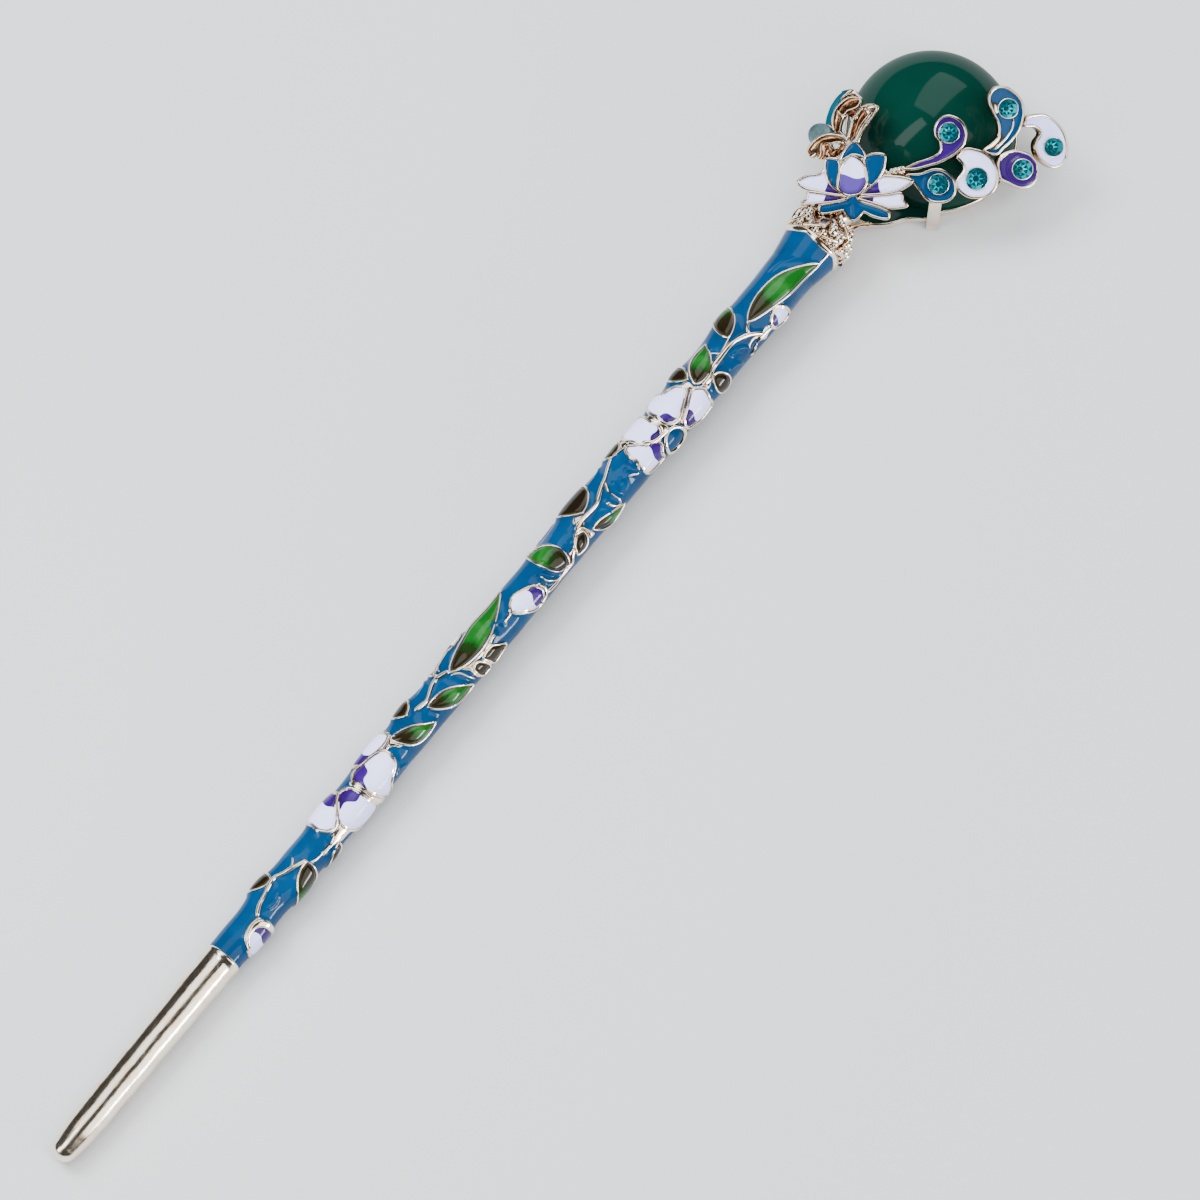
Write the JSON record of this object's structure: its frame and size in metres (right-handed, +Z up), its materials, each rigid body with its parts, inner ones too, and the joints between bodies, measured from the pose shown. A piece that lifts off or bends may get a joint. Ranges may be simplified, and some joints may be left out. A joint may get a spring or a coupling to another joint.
{
  "type": "hair stick",
  "caption": "Long metal hair stick with enamelled vines, a beaded collar, a lotus, a plume of curls with cut stones and a domed green stone.",
  "frame": {"origin": "centre of the domed stone, on the flat underside of the back plate", "axes": "+X along the stick from its tip towards the head, +Y to the left of that, +Z up, out of the back plate; the part lies as it rests on a table"},
  "size_m": [0.1715, 0.0265, 0.0135],
  "materials": {
    "gold_metal": "polished pale gold plate",
    "blue_enamel": "glossy enamel",
    "leaf_enamel": "glossy enamel",
    "white_enamel": "glossy enamel",
    "violet_enamel": "glossy enamel",
    "teal_enamel": "glossy enamel",
    "green_ball": "polished, slightly translucent",
    "teal_stone": "cut and polished, backed"
  },
  "bodies": {
    "root": {"shaft": "gold_metal", "shaft_ground": "blue_enamel", "leaf_enamel": "leaf_enamel", "petal_enamel": "white_enamel", "petal_violet": "violet_enamel", "collar": "gold_metal", "neck": "gold_metal", "back_plate": "gold_metal", "ball": "green_ball", "post": "gold_metal", "lotus": "gold_metal", "lotus_blue": "blue_enamel", "lotus_white": "white_enamel", "lotus_violet": "violet_enamel", "plume": "gold_metal", "curl_1_enamel": "violet_enamel", "curl_2_enamel": "blue_enamel", "curl_3_enamel": "white_enamel", "curl_4_enamel": "blue_enamel", "curl_5_enamel": "violet_enamel", "curl_6_enamel": "white_enamel", "stone_1": "teal_stone", "stone_2": "teal_stone", "stone_3": "teal_stone", "stone_4": "teal_stone", "stone_5": "teal_stone", "stone_6": "teal_stone", "wing": "gold_metal", "wing_enamel": "teal_enamel", "wing_stone": "teal_stone"}
  },
  "joints": []
}
